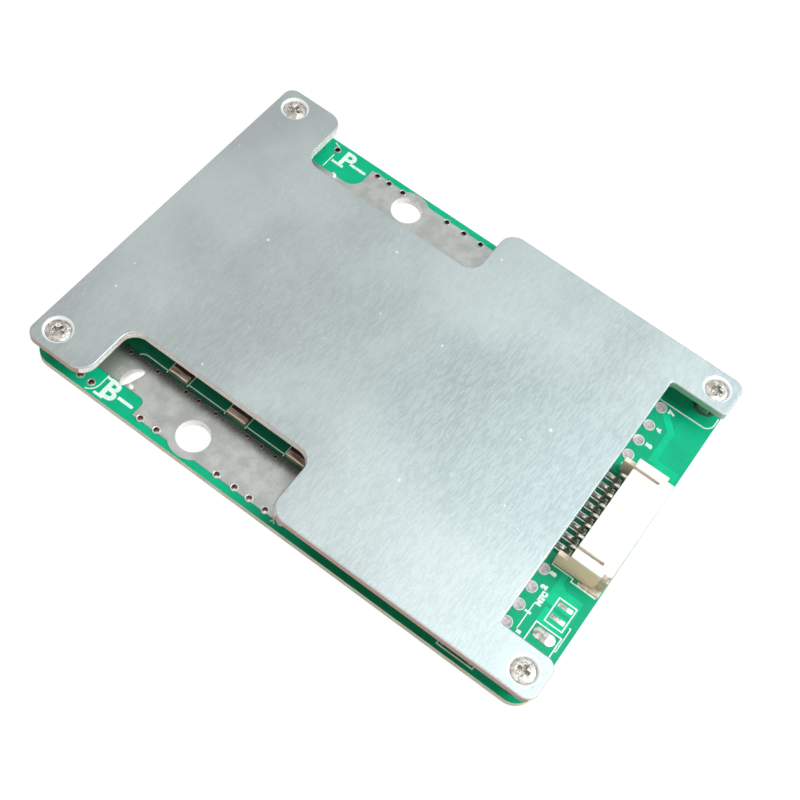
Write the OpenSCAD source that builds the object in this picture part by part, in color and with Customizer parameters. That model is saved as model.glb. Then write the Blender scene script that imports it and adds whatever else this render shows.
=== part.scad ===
// Battery management board for a pack of seven lithium cells in series.
// A green circuit board carries the power transistors, the current shunts, the cell
// monitor and the balance connector. An aluminium plate stands over it on four soldered
// standoffs and takes the transistors' heat through two silicone pads. Bays in both long
// sides of the plate leave the two heavy terminals open, and a notch in its right-hand
// end leaves the connector open.
//
// X runs along the board towards the connector, Y across it from the B- side to the
// P- side, and Z up. The origin is the middle of the board's underside. Sizes are in mm.

/* [Circuit board] */
// Length along X
board_l = 85; // [83:0.5:110]
// Width along Y
board_w = 60; // [57:0.5:80]
// Thickness of the laminate
board_t = 1.2; // [1:0.1:2]
// Radius of the board's corners
corner_r = 3; // [1:0.1:3.5]

/* [Heat plate] */
// Thickness of the aluminium
plate_t = 1.5; // [1.3:0.1:3]
// How far the plate stands out past the board all round
plate_over = 0.25; // [0:0.05:0.5]
// Radius of the plate's corners
plate_corner_r = 1.7; // [0.5:0.1:3]
// From the left-hand end to the side bays
bay_from_end = 10.5; // [9:0.1:12]
// Length of a side bay
bay_l = 32; // [28:0.5:36]
// Depth of a side bay
bay_depth = 10; // [8:0.1:11]
// Radius of a bay's inner corners
bay_corner_r = 2.4; // [0.5:0.1:4]
// Radius where a bay opens into the long side
bay_lip_r = 2.6; // [0.5:0.1:3.5]
// Depth of the notch round the connector
notch_depth = 9; // [8.5:0.1:10]
// Width of the tab beside the notch, on the B- side
tab_near_w = 6.5; // [5.6:0.1:8]
// Width of the tab beside the notch, on the P- side
tab_far_w = 6.3; // [5.6:0.1:8]
// Radius of the notch's inner corners
notch_corner_r = 0.6; // [0.2:0.1:2]
// Radius of the inner tip of the tab on the B- side
tab_near_tip_r = 1.6; // [0.4:0.1:2.5]
// Radius of the inner tip of the tab on the P- side
tab_far_tip_r = 0.6; // [0.4:0.1:2.5]

/* [Plate screws] */
// From the edges of the board to the screws
screw_inset = 3; // [2.8:0.1:4]
// Diameter of the thread
screw_d = 2; // [1.6:0.1:2.5]
// Length over all of the countersunk screw
screw_l = 5; // [4:0.5:5.5]
// Diameter of the head
head_d = 3.6; // [3.2:0.1:3.8]
// Angle of the countersunk head and of its seat
head_angle = 90; // [82:1:100]
// Height of the head's raised top
head_crown = 0.25; // [0.1:0.05:0.3]
// Width of the cross recess
recess_w = 0.55; // [0.4:0.05:0.8]
// Length of the cross recess
recess_l = 1.8; // [1.4:0.1:2]
// Depth of the cross recess
recess_depth = 0.8; // [0.5:0.1:0.9]
// Diameter of the countersink where it meets the plate's face
sink_d = 4.4; // [4.2:0.1:4.9]
// Clearance round the screw in the plate's hole
screw_clearance = 0.2; // [0.1:0.05:0.4]

/* [Standoffs] */
// Diameter of the body
standoff_d = 3.6; // [3.3:0.1:4.4]
// Diameter of the shank soldered into the board
shank_d = 2.9; // [2.7:0.05:3.1]
// How far the shank's end stays above the board's underside
shank_setback = 0.3; // [0.1:0.1:0.6]
// Clearance round the shank, which the solder fills
shank_clearance = 0.05; // [0.02:0.01:0.1]
// Clearance between the screw and the tapped bore
thread_clearance = 0.03; // [0.01:0.01:0.1]

/* [Power terminals] */
// Diameter of the round hole in a terminal
power_hole_d = 5.2; // [4.2:0.1:5.6]
// From the left-hand end to the holes
power_hole_from_end = 26.5; // [20:0.5:32]
// From a long side to a hole's centre
power_hole_inset = 3.95; // [3.6:0.05:4.4]
// Width of the ring that keeps the tin round a hole
power_ring_w = 1.1; // [0.6:0.1:1.2]
// Thickness of the tinned copper
land_t = 0.1; // [0.05:0.05:0.3]
// From the left-hand end to the lands
land_from_end = 7.8; // [7:0.1:12]
// Length of a land
land_l = 39; // [35:0.5:43]
// Green strip between a land and the board's long side
land_margin = 1.15; // [0.8:0.05:1.4]
// How far the B- land reaches in from the long side
b_land_reach = 9.2; // [8.5:0.1:9.3]
// How far the P- land reaches in from the long side
p_land_reach = 20; // [12:0.5:20.5]
// Length of the green corner that holds a terminal's mark
mark_l = 10; // [7:0.1:11.5]
// Depth of that corner on the B- side
b_mark_depth = 4; // [3:0.1:5]
// Depth of that corner on the P- side
p_mark_depth = 6; // [4:0.1:7]
// Radius of that corner on the B- side
b_mark_r = 1; // [0.3:0.1:2]
// Radius of that corner on the P- side
p_mark_r = 2.3; // [0.5:0.1:3]

/* [Vias] */
// Diameter of the holes along the board's long sides
via_d = 0.8; // [0.5:0.1:1]
// From the long sides to those holes
via_inset = 1.5; // [1.3:0.1:1.8]
// Diameter of the small holes along the B- land's inner side
small_via_d = 0.5; // [0.3:0.1:0.6]
// From the long side to the small holes
small_via_inset = 8.75; // [8:0.05:8.9]

/* [Transistors] */
// Transistors in each of the two rows
fet_count = 5; // [2:1:5]
// Spacing of the transistors
fet_pitch = 7.8; // [7.2:0.1:8]
// From the left-hand end to the first transistor's middle
fet_from_end = 10; // [8:0.5:11]
// Width of the moulded body
fet_w = 6.6; // [6:0.1:6.8]
// Length of the moulded body
fet_l = 6.1; // [5.8:0.1:6.4]
// Height of the moulded body
fet_h = 2.3; // [2:0.1:2.6]
// Width of the drain tab
fet_tab_w = 5.3; // [4.6:0.1:5.6]
// How far the drain tab stands out of the body
fet_tab_out = 1; // [0.6:0.1:1.2]
// Thickness of the tab and the leads
fet_metal_t = 0.5; // [0.4:0.05:0.6]
// How far the leads reach out of the body
fet_lead_out = 2.8; // [2.2:0.1:3]
// Width of a lead
fet_lead_w = 0.8; // [0.6:0.05:0.9]
// Spacing of the two leads
fet_lead_gap = 4.57; // [4.2:0.01:4.8]
// Gap between the tabs of the two rows
row_gap = 1.2; // [0.6:0.1:1.5]
// Thickness of the silicone pads, pressed
pad_t = 1.2; // [0.6:0.1:1.4]
// Width of a silicone pad, across its row
pad_w = 6.5; // [5:0.1:6.8]
// How far a pad reaches past the end transistors
pad_over = 0.8; // [0:0.1:1.2]

/* [Shunts] */
// Number of shunts
shunt_count = 4; // [1:1:4]
// Spacing of the shunts
shunt_pitch = 10.5; // [8:0.1:10.8]
// From the left-hand end to the first shunt's middle
shunt_from_end = 18.9; // [16:0.1:20]
// Length of a shunt
shunt_l = 6.4; // [6:0.1:6.6]
// Width of a shunt
shunt_w = 3.2; // [2.8:0.1:3.6]
// Height of a shunt
shunt_h = 0.9; // [0.5:0.05:1.2]
// Length of a shunt's end cap
shunt_cap = 0.9; // [0.5:0.05:1.2]
// How far the shunts stand out into the bay
shunt_peek = 0.3; // [0:0.1:0.6]
// Gap between the shunts and the transistors' leads
shunt_gap = 1; // [0.5:0.1:1.2]

/* [Balance connector] */
// Number of contacts
contact_count = 8; // [4:1:9]
// Spacing of the contacts
contact_pitch = 2; // [1.8:0.1:2.2]
// From the middle of the end contacts to the housing's ends
housing_end = 2.6; // [2.4:0.1:3]
// Length of the housing's top, front to back
housing_top_l = 6.2; // [5.8:0.1:6.4]
// Height of the housing
housing_h = 4.8; // [4.6:0.1:6]
// How far the mouth stays back from the board's end
housing_setback = 0.2; // [0:0.1:0.6]
// Thickness of the housing's walls
housing_wall = 0.8; // [0.6:0.05:0.9]
// Thickness of the housing's back
housing_back = 1; // [0.8:0.05:1.2]
// How far the ears reach behind the top
ear_l = 1.7; // [1:0.1:1.9]
// Height of the ears
ear_h = 3.1; // [2:0.1:3.8]
// Length of the spring slits in the top
slit_l = 4.2; // [3:0.1:4.6]
// Width of the spring slits
slit_w = 0.45; // [0.3:0.05:0.6]
// From the end contacts to the slits
slit_out = 0.75; // [0.5:0.05:1]
// Length of the corner recess that holds a solder tab
corner_cut_l = 1.2; // [1:0.05:1.4]
// Depth of that corner recess
corner_cut_w = 0.75; // [0.6:0.05:0.75]
// Thickness of the square contact wire
wire = 0.5; // [0.4:0.05:0.6]
// Height of the contacts' middle above the board
pin_height = 2.4; // [2.2:0.05:2.8]
// How far the contacts' tips stay behind the mouth
pin_setback = 1; // [0.5:0.1:1.5]
// From the housing's back to the contacts' upright legs
leg_out = 1; // [0.9:0.05:1.2]
// Length of a contact's foot on the board
foot_l = 1.5; // [1.2:0.1:1.6]
// Inner radius of the contacts' bends
bend_r = 0.25; // [0.15:0.05:0.4]
// Clearance round a contact in the housing's back
contact_fit = 0.02; // [0.01:0.01:0.05]
// Thickness of a solder tab's metal
tab_metal_t = 0.3; // [0.2:0.05:0.4]
// Height of a solder tab
solder_tab_h = 3.3; // [2:0.1:4]
// Length of a solder tab's foot, along X
solder_foot_l = 2.9; // [2:0.1:3.2]
// How far a solder tab's foot reaches out beside the housing
solder_foot_out = 0.6; // [0.4:0.05:0.9]

/* [Cell channels] */
// Cells in series, each with its own channel
cell_count = 7; // [4:1:7]
// Spacing of the channels
channel_pitch = 6; // [4:0.1:6.4]
// From the right-hand end to the balance resistors' middle
channel_from_end = 12.5; // [12.3:0.1:13.5]
// Gap between the parts of a channel
channel_gap = 0.9; // [0.5:0.1:1.1]
// Length, width and height of a balance resistor
resistor = [3.2, 2.5, 0.6];
// Length of a resistor's end cap
resistor_cap = 0.5; // [0.3:0.05:0.8]
// Length, width and height of a small transistor's body
sot = [2.9, 1.3, 1.1];
// Width over the leads of a small transistor
sot_span = 2.4; // [2.1:0.1:2.8]
// Spacing of the two leads on one side of a small transistor
sot_lead_gap = 1.9; // [1.7:0.05:2]
// Width of a small transistor's leads
sot_lead_w = 0.4; // [0.3:0.05:0.5]
// Length, width and height of a filter capacitor
capacitor = [2, 1.25, 0.9];
// Length of a capacitor's end cap
capacitor_cap = 0.4; // [0.2:0.05:0.6]

/* [Monitor and other parts] */
// Length, width and height of the monitor's body
chip = [5.3, 8.2, 1.8];
// Leads on each side of the monitor
chip_leads = 12; // [8:1:12]
// Spacing of the monitor's leads
chip_pitch = 0.65; // [0.5:0.05:0.65]
// Width over the monitor's leads
chip_span = 7.8; // [7.2:0.1:8.2]
// Width of one of the monitor's leads
chip_lead_w = 0.3; // [0.2:0.05:0.35]
// From the board's middle line to the monitor's middle
chip_y = 4; // [0:0.5:6]
// Length, width and height of the clamp diode's body
diode = [4.4, 3.6, 2.2];
// Length over the clamp diode's terminals
diode_span = 5.4; // [5:0.1:5.8]
// Width of the clamp diode's terminals
diode_lead_w = 2; // [1.4:0.1:2.4]
// From the P- side to the clamp diode's middle
diode_inset = 9; // [6:0.5:12]
// Length, width and height of the edge resistor
edge_part = [5, 2.5, 0.7];
// From the B- side to the edge resistor
edge_inset = 1; // [0.6:0.1:1.5]
// From the right-hand end to the edge resistor's middle
edge_from_end = 11.4; // [10:0.1:14]

/* [Hidden] */
$fn = 64;
// Cuts run past the faces that they open by this much
over = 1;
// The thermal gap under the plate is the transistor and its pad
gap_h = fet_h + pad_t;
plate_z = board_t + gap_h;
top_z = plate_z + plate_t;
left = -board_l / 2;
right = board_l / 2;
screw_x = board_l / 2 - screw_inset;
screw_y = board_w / 2 - screw_inset;
// The head sits on its cone, below the plate's face by what the seat is wider
head_slope = tan(head_angle / 2);
head_sink = (sink_d - head_d) / 2 / head_slope;
head_z = top_z - head_sink;
head_cone_h = (head_d - screw_d) / 2 / head_slope;
screw_hole_d = screw_d + 2 * screw_clearance;
seat_play = 0.01;
crown_r = (head_d * head_d / 4 + head_crown * head_crown) / (2 * head_crown);
tip_chamfer = 0.25;
bore_d = screw_d + 2 * thread_clearance;
shank_hole_d = shank_d + 2 * shank_clearance;
// Places of the via holes, measured from the left-hand end
b_vias = [8, 10, 19, 21.9, 32.7, 35.8, 38.4, 41.2, 44];
b_small_vias = [11, 16, 21.2, 23.5, 26.6, 32.3, 34.8, 37.3];
p_vias = [11, 19, 21.3, 24, 32.7, 36, 39.2];
// The shunts stand at the bay, and both rows of transistors follow from them
shunt_y = -board_w / 2 + bay_depth - shunt_peek + shunt_l / 2;
discharge_y = shunt_y + shunt_l / 2 + shunt_gap + fet_lead_out + fet_l / 2;
charge_y = discharge_y + fet_l + 2 * fet_tab_out + row_gap;
fet_x = left + fet_from_end;
fet_cut_lead_out = 0.9;
fet_draft = 0.15;
cap_proud = 0.04;
row_l = (fet_count - 1) * fet_pitch + fet_w;
// The housing's places along X, from its mouth to the back of its ears
mouth_x = right - housing_setback;
top_back_x = mouth_x - housing_top_l;
ear_back_x = top_back_x - ear_l;
contact_span = (contact_count - 1) * contact_pitch;
housing_half = contact_span / 2 + housing_end;
housing_top_z = board_t + housing_h;
pin_z = board_t + pin_height;
leg_x = top_back_x - leg_out;
contact_hole = wire + 2 * contact_fit;
// The channels stand in a column beside the notch, each part next to the last
channel_x = right - channel_from_end;
sot_x = channel_x - resistor.x / 2 - channel_gap - sot_span / 2;
capacitor_x = sot_x - sot_span / 2 - channel_gap - capacitor.x / 2;
// The monitor and the clamp stand midway between the rows and the channels
middle_x = (fet_x + row_l - fet_w / 2 + capacitor_x - capacitor.x / 2) / 2;
diode_y = board_w / 2 - diode_inset;

function numbered(name, count) = [for (i = [1:count]) str(name, i)];

// ---- Shapes that several parts use ----

// A rectangle with round corners, from its lower left corner
module round_rect(l, w, r) {
    translate([r, 0]) square([l - 2 * r, w]);
    translate([0, r]) square([l, w - 2 * r]);
    for (x = [r, l - r], y = [r, w - r]) translate([x, y]) circle(r);
}

// What is cut off to round an outer corner that points towards +X and +Y at the origin
module corner_waste(r) {
    difference() {
        translate([-r, -r]) square(r + over);
        translate([-r, -r]) circle(r);
    }
}

// Puts a shape drawn from a terminal's corner, X along the board and Y inwards,
// on the B- side (-1) or on the P- side (1)
module from_side(side) {
    mirror([0, side > 0 ? 1 : 0, 0]) translate([left, -board_w / 2, 0]) children();
}

module at_screws() {
    for (x = [-screw_x, screw_x], y = [-screw_y, screw_y]) translate([x, y, 0]) children();
}

// A bar of rectangular section that is laid from one end to the other along X, with its
// metal end caps a little proud of it: the shape of resistors and capacitors
module chip_part(size, cap) {
    translate([-size.x / 2 + cap, -size.y / 2 + cap_proud, 0])
        cube([size.x - 2 * cap, size.y - 2 * cap_proud, size.z - cap_proud]);
    for (x = [-size.x / 2, size.x / 2 - cap])
        translate([x, -size.y / 2, 0]) cube([cap, size.y, size.z]);
}

// A moulded body whose sides lean in by the draft above and below its parting line
module moulded_body(l, w, h, draft) {
    intersection() {
        rotate([90, 0, 0]) linear_extrude(w, center = true) drafted(l, h, draft);
        rotate([90, 0, 90]) linear_extrude(l, center = true) drafted(w, h, draft);
    }
}

module drafted(width, h, draft) {
    polygon([
        [-width / 2 + draft, 0], [width / 2 - draft, 0], [width / 2, h / 2],
        [width / 2 - draft, h], [-width / 2 + draft, h], [-width / 2, h / 2],
    ]);
}

// A lead that leaves a body at x = 0, falls to the board and ends flat at x = out
module gull_lead(out, rise, thick, width) {
    shoulder = out * 0.25;
    knee = out * 0.5;
    rotate([90, 0, 0]) linear_extrude(width, center = true)
        polygon([
            [-thick, rise], [shoulder, rise], [knee, 0], [out, 0], [out, thick],
            [knee + thick * 0.5, thick], [shoulder + thick * 0.5, rise + thick],
            [-thick, rise + thick],
        ]);
}

// ---- Circuit board and its lands ----

module via_holes(side) {
    from_side(side) {
        for (x = side < 0 ? b_vias : p_vias) translate([x, via_inset]) circle(d = via_d);
        if (side < 0)
            for (x = b_small_vias) translate([x, small_via_inset]) circle(d = small_via_d);
    }
}

module power_holes() {
    for (side = [-1, 1])
        from_side(side) translate([power_hole_from_end, power_hole_inset])
            circle(d = power_hole_d);
}

module circuit_board() {
    color("mediumseagreen") linear_extrude(board_t) difference() {
        translate([left, -board_w / 2]) round_rect(board_l, board_w, corner_r);
        at_screws() circle(d = shank_hole_d);
        power_holes();
        for (side = [-1, 1]) via_holes(side);
    }
}

// The tinned copper of a terminal. Its green corner is left bare for the mark, and its
// outer side keeps off the board's edge except round the hole, whose rim it reaches.
module power_land(side, reach, mark_depth, mark_r) {
    color("silver") translate([0, 0, board_t]) linear_extrude(land_t) difference() {
        from_side(side) {
            difference() {
                translate([land_from_end, land_margin]) square([land_l, reach - land_margin]);
                translate([land_from_end - mark_l, -mark_r])
                    round_rect(2 * mark_l, mark_depth + mark_r, mark_r);
            }
            translate([power_hole_from_end, power_hole_inset])
                circle(d = power_hole_d + 2 * power_ring_w);
        }
        power_holes();
        via_holes(side);
    }
}

module b_minus_land() { power_land(-1, b_land_reach, b_mark_depth, b_mark_r); }

module p_minus_land() { power_land(1, p_land_reach, p_mark_depth, p_mark_r); }

// ---- Heat plate, screws and standoffs ----

module bay(side) {
    from_side(side) {
        translate([bay_from_end, -bay_corner_r])
            round_rect(bay_l, bay_depth + bay_corner_r, bay_corner_r);
        translate([bay_from_end, -plate_over]) mirror([0, 1]) corner_waste(bay_lip_r);
        translate([bay_from_end + bay_l, -plate_over]) mirror([1, 0]) mirror([0, 1])
            corner_waste(bay_lip_r);
    }
}

module connector_notch() {
    notch_w = board_w - tab_near_w - tab_far_w;
    near_y = -board_w / 2 + tab_near_w;
    translate([right - notch_depth, near_y])
        round_rect(notch_depth + over + notch_corner_r, notch_w, notch_corner_r);
    translate([right + plate_over, near_y]) corner_waste(tab_near_tip_r);
    translate([right + plate_over, near_y + notch_w]) mirror([0, 1])
        corner_waste(tab_far_tip_r);
}

// A clearance hole with its conical seat, from the plate's top face down
module countersink() {
    seat_h = (sink_d - screw_hole_d) / 2 / head_slope;
    rotate_extrude() polygon([
        [0, -plate_t - over], [screw_hole_d / 2, -plate_t - over], [screw_hole_d / 2, -seat_h],
        [sink_d / 2, 0], [sink_d / 2, over], [0, over],
    ]);
}

module heat_plate() {
    color("lightsteelblue") difference() {
        translate([0, 0, plate_z]) linear_extrude(plate_t) difference() {
            translate([left - plate_over, -board_w / 2 - plate_over])
                round_rect(board_l + 2 * plate_over, board_w + 2 * plate_over, plate_corner_r);
            bay(-1);
            bay(1);
            connector_notch();
        }
        translate([0, 0, top_z]) at_screws() countersink();
    }
}

// A countersunk screw with a raised head, its head's rim at z = 0 and its tip below
module plate_screw() {
    difference() {
        union() {
            rotate_extrude() polygon([
                [0, -screw_l], [screw_d / 2 - tip_chamfer, -screw_l],
                [screw_d / 2, -screw_l + tip_chamfer], [screw_d / 2, seat_play / head_slope - head_cone_h],
                [head_d / 2 - seat_play, 0], [0, 0],
            ]);
            intersection() {
                cylinder(h = head_crown, d = head_d - 2 * seat_play);
                translate([0, 0, head_crown - crown_r]) sphere(crown_r, $fn = 128);
            }
        }
        for (a = [0, 90])
            rotate(a) translate([-recess_l / 2, -recess_w / 2, head_crown - recess_depth])
                cube([recess_l, recess_w, recess_depth + over]);
    }
}

module plate_screws() {
    color("gainsboro") translate([0, 0, head_z]) at_screws() plate_screw();
}

module standoffs() {
    color("tan") at_screws() rotate_extrude() polygon([
        [bore_d / 2, shank_setback], [shank_d / 2, shank_setback], [shank_d / 2, board_t],
        [standoff_d / 2, board_t], [standoff_d / 2, plate_z], [bore_d / 2, plate_z],
    ]);
}

// ---- Power transistors, silicone pads and shunts ----

// A power transistor with its tab towards +Y and its leads towards -Y
module power_fet() {
    moulded_body(fet_w, fet_l, fet_h, fet_draft);
    translate([-fet_tab_w / 2, 0, 0]) cube([fet_tab_w, fet_l / 2 + fet_tab_out, fet_metal_t]);
    for (x = [-fet_lead_gap / 2, fet_lead_gap / 2])
        translate([x, -fet_l / 2, 0]) rotate(-90)
            gull_lead(fet_lead_out, fet_h / 2 - fet_metal_t / 2, fet_metal_t, fet_lead_w);
    translate([-fet_lead_w / 2, -fet_l / 2 - fet_cut_lead_out, fet_h / 2 - fet_metal_t / 2])
        cube([fet_lead_w, fet_cut_lead_out + fet_draft + fet_metal_t, fet_metal_t]);
}

module discharge_fet(i) {
    color("dimgray") translate([fet_x + (i - 1) * fet_pitch, discharge_y, board_t]) power_fet();
}

module charge_fet(i) {
    color("dimgray") translate([fet_x + (i - 1) * fet_pitch, charge_y, board_t])
        rotate(180) power_fet();
}

module silicone_pad(y) {
    color("lightgray") translate([fet_x - fet_w / 2 - pad_over, y - pad_w / 2, board_t + fet_h])
        cube([row_l + 2 * pad_over, pad_w, pad_t]);
}

module discharge_pad() { silicone_pad(discharge_y); }

module charge_pad() { silicone_pad(charge_y); }

module shunt(i) {
    color("saddlebrown")
        translate([left + shunt_from_end + (i - 1) * shunt_pitch, shunt_y, board_t])
            rotate(90) chip_part([shunt_l, shunt_w, shunt_h], shunt_cap);
}

// ---- Balance connector ----

// The housing is one moulding: a box open towards +X, with a thin top that two slits let
// flex, low ears behind it, and a corner recess at each side of the mouth.
module connector_housing() {
    inner_half = housing_half - housing_wall;
    slit_y = contact_span / 2 + slit_out;
    color("ivory") difference() {
        union() {
            translate([top_back_x, -housing_half, board_t])
                cube([housing_top_l, 2 * housing_half, housing_h]);
            for (y = [-housing_half, inner_half])
                translate([ear_back_x, y, board_t]) cube([ear_l + over, housing_wall, ear_h]);
        }
        // The mouth
        translate([top_back_x + housing_back, -inner_half, board_t + housing_wall])
            cube([housing_top_l, 2 * inner_half, housing_h - 2 * housing_wall]);
        // The slits run from the back of the top towards the mouth
        for (y = [-slit_y, slit_y])
            translate([top_back_x - over, y - slit_w / 2, housing_top_z - housing_wall - over])
                cube([slit_l + over, slit_w, housing_wall + 2 * over]);
        // The corner recesses
        for (y = [-housing_half - over, housing_half - corner_cut_w])
            translate([mouth_x - corner_cut_l, y, board_t - over])
                cube([corner_cut_l + over, corner_cut_w + over, housing_h + 2 * over]);
        // The holes for the contacts
        for (i = [1:contact_count])
            translate([top_back_x - over, contact_y(i) - contact_hole / 2, pin_z - contact_hole / 2])
                cube([housing_back + 2 * over, contact_hole, contact_hole]);
    }
}

function contact_y(i) = (i - (contact_count + 1) / 2) * contact_pitch;

// A quarter bend of the square wire in the XZ plane, about the origin, from angle a
module wire_bend(a) {
    rotate([90, 0, 0]) rotate(a) rotate_extrude(angle = 90)
        translate([bend_r, -wire / 2]) square(wire);
}

// A contact is one bent wire: a pin in the mouth, a leg behind the housing and a foot
module contact(i) {
    mid_r = bend_r + wire / 2;
    foot_z = board_t + wire / 2;
    color("gainsboro") translate([0, contact_y(i), 0]) {
        translate([leg_x + mid_r, -wire / 2, pin_z - wire / 2])
            cube([mouth_x - pin_setback - leg_x - mid_r, wire, wire]);
        translate([leg_x + mid_r, 0, pin_z - mid_r]) wire_bend(90);
        translate([leg_x - wire / 2, -wire / 2, foot_z + mid_r])
            cube([wire, wire, pin_z - foot_z - 2 * mid_r]);
        translate([leg_x - mid_r, 0, foot_z + mid_r]) wire_bend(-90);
        translate([leg_x + wire / 2 - foot_l, -wire / 2, board_t])
            cube([foot_l - wire / 2 - mid_r, wire, wire]);
    }
}

// A solder tab stands in the corner recess, and its foot lies on the board outside it
module solder_tab(side) {
    plate_y = housing_half - corner_cut_w;
    color("gainsboro") mirror([0, side < 0 ? 1 : 0, 0]) {
        translate([mouth_x - corner_cut_l + contact_fit, plate_y, board_t])
            cube([corner_cut_l - contact_fit, tab_metal_t, solder_tab_h]);
        translate([mouth_x - corner_cut_l + contact_fit, plate_y, board_t])
            cube([corner_cut_l - contact_fit, corner_cut_w + contact_fit + tab_metal_t, tab_metal_t]);
        translate([mouth_x - solder_foot_l, housing_half + contact_fit, board_t])
            cube([solder_foot_l, solder_foot_out, tab_metal_t]);
    }
}

module solder_tab_near() { solder_tab(-1); }

module solder_tab_far() { solder_tab(1); }

// ---- Cell channels and other parts ----

function channel_y(i) = (i - (cell_count + 1) / 2) * channel_pitch;

module balance_resistor(i) {
    color("black") translate([channel_x, channel_y(i), board_t])
        chip_part(resistor, resistor_cap);
}

// A small transistor with two leads towards +X and one towards -X
module balance_transistor(i) {
    rise = sot.z / 2 - 0.1;
    out = (sot_span - sot.y) / 2;
    color("dimgray") translate([sot_x, channel_y(i), board_t]) {
        translate([0, 0, 0.05]) rotate(90) moulded_body(sot.x, sot.y, sot.z - 0.05, 0.08);
        for (y = [-sot_lead_gap / 2, sot_lead_gap / 2])
            translate([sot.y / 2, y, 0]) gull_lead(out, rise, 0.12, sot_lead_w);
        translate([-sot.y / 2, 0, 0]) rotate(180) gull_lead(out, rise, 0.12, sot_lead_w);
    }
}

module filter_capacitor(i) {
    color("peru") translate([capacitor_x, channel_y(i), board_t])
        chip_part(capacitor, capacitor_cap);
}

module cell_monitor() {
    out = (chip_span - chip.x) / 2;
    color("dimgray") translate([middle_x, chip_y, board_t]) {
        translate([0, 0, 0.05]) moulded_body(chip.x, chip.y, chip.z - 0.05, 0.15);
        for (a = [0, 180], i = [1:chip_leads])
            rotate(a) translate([chip.x / 2, (i - (chip_leads + 1) / 2) * chip_pitch, 0])
                gull_lead(out, chip.z / 2 - 0.1, 0.15, chip_lead_w);
    }
}

module clamp_diode() {
    out = (diode_span - diode.x) / 2;
    color("dimgray") translate([middle_x, diode_y, board_t]) {
        translate([0, 0, 0.05]) moulded_body(diode.x, diode.y, diode.z - 0.05, 0.15);
        for (a = [0, 180])
            rotate(a) translate([diode.x / 2, 0, 0])
                gull_lead(out, diode.z / 2 - 0.1, 0.2, diode_lead_w);
    }
}

module edge_resistor() {
    color("sienna")
        translate([right - edge_from_end, -board_w / 2 + edge_inset + edge_part.y / 2, board_t])
            chip_part(edge_part, resistor_cap);
}

circuit_board();
b_minus_land();
p_minus_land();
heat_plate();
plate_screws();
standoffs();
discharge_pad();
charge_pad();
for (i = [1:fet_count]) discharge_fet(i);
for (i = [1:fet_count]) charge_fet(i);
for (i = [1:shunt_count]) shunt(i);
connector_housing();
for (i = [1:contact_count]) contact(i);
solder_tab_near();
solder_tab_far();
for (i = [1:cell_count]) balance_resistor(i);
for (i = [1:cell_count])
    balance_transistor(i);
for (i = [1:cell_count]) filter_capacitor(i);
cell_monitor();
clamp_diode();
edge_resistor();
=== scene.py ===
import math

import bmesh
import bpy
from mathutils import Matrix, Vector


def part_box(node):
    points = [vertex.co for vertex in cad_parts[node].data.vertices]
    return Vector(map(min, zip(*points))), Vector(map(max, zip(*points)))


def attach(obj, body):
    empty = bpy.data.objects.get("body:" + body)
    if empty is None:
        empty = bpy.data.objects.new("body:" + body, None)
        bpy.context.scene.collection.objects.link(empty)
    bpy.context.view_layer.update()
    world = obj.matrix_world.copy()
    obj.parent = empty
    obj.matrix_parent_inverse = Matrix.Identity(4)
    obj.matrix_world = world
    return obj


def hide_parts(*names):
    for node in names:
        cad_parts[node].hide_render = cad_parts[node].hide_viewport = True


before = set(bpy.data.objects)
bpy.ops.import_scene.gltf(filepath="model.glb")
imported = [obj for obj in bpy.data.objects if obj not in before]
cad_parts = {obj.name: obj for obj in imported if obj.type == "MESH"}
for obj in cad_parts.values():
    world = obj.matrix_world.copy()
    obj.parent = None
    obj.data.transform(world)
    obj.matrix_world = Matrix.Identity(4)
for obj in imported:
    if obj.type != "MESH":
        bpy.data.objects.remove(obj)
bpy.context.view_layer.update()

# ---- Circuit board ----
# A 1.2 mm glass-epoxy laminate with copper on both faces under a glossy green solder
# mask. It is routed to shape, so its edges show the pale bare glass in layers. Wide
# copper pours and single traces stand out under the mask as lighter, raised areas.

# Sizes are written in millimetres, and MM turns them into the frame's metres
MM = 0.001
board_low, board_high = (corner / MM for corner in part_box("circuit_board"))
TOP = board_high.z
UNDER = board_low.z


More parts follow.
